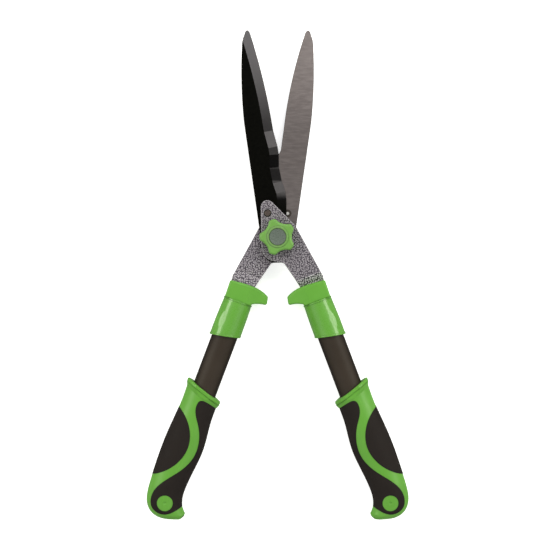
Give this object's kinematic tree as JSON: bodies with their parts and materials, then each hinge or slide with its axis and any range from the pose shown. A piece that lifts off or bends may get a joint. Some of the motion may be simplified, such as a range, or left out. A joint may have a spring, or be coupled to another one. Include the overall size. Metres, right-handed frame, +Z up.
{
  "type": "hedge shears",
  "caption": "Two-handed hedge shears with long blades, tubular handles, moulded grips and a lobed knob that sets the tension of the pivot.",
  "frame": {"origin": "on the pivot axis, in the flat of the pivot bolt head, which touches the surface that the shears lie on", "axes": "+Y from the pivot towards the blade tips, +Z up along the pivot axis through the tension knob, +X towards the right handle"},
  "size_m": [0.288, 0.538, 0.0396],
  "materials": {
    "blade_steel": "black low-friction coating on the outer face, ground grey bevel, bare satin inner face",
    "hammered_plate": "silver-grey hammered paint",
    "rivet_steel": "spun steel rivet",
    "bumper_green": "matte moulded green",
    "ferrule_green": "glossy moulded green",
    "dark_tube": "dark brown-black satin paint",
    "black_plastic": "plain moulded",
    "grip_green": "satin moulded green",
    "pad_black": "fine matte texture",
    "zinc_steel": "zinc plated",
    "knob_green": "satin moulded green",
    "insert_brass": "turned",
    "disc_silver": "satin grey metal"
  },
  "bodies": {
    "rear_half": {"rear_blade": "blade_steel", "rear_shank": "hammered_plate", "rear_blade_rivet": "rivet_steel", "left_bumper": "bumper_green", "left_ferrule": "ferrule_green", "left_tube": "dark_tube", "left_tang_bush": "black_plastic", "left_tang_pins": "rivet_steel", "left_grip_core": "grip_green", "left_palm_pad": "pad_black", "left_finger_pad": "pad_black", "pivot_bolt": "zinc_steel"},
    "front_half": {"front_blade": "blade_steel", "front_shank": "hammered_plate", "front_blade_rivet": "rivet_steel", "right_bumper": "bumper_green", "right_ferrule": "ferrule_green", "right_tube": "dark_tube", "right_tang_bush": "black_plastic", "right_tang_pins": "rivet_steel", "right_grip_core": "grip_green", "right_palm_pad": "pad_black", "right_finger_pad": "pad_black", "spring_washer": "zinc_steel"},
    "knob_washer": {"thrust_washer": "zinc_steel"},
    "knob": {"tension_knob": "knob_green", "knob_insert": "insert_brass", "knob_disc": "disc_silver"}
  },
  "joints": [
    {"name": "blade_pivot", "type": "hinge", "parent": "rear_half", "child": "front_half", "pos_m": [0, 0, 0], "axis": [0, 0, 1], "range_deg": [-17.4, 48]},
    {"name": "knob_advance", "type": "slide", "parent": "rear_half", "child": "knob_washer", "axis": [0, 0, 1], "range_m": [0, 0.0013]},
    {"name": "knob_turn", "type": "hinge", "parent": "knob_washer", "child": "knob", "pos_m": [0, 0, 0], "axis": [0, 0, 1], "range_deg": [0, 360]}
  ],
  "couplings": [
    {"joint": "knob_advance", "follows": "knob_turn", "m_per_rad": 0.00019894}
  ]
}
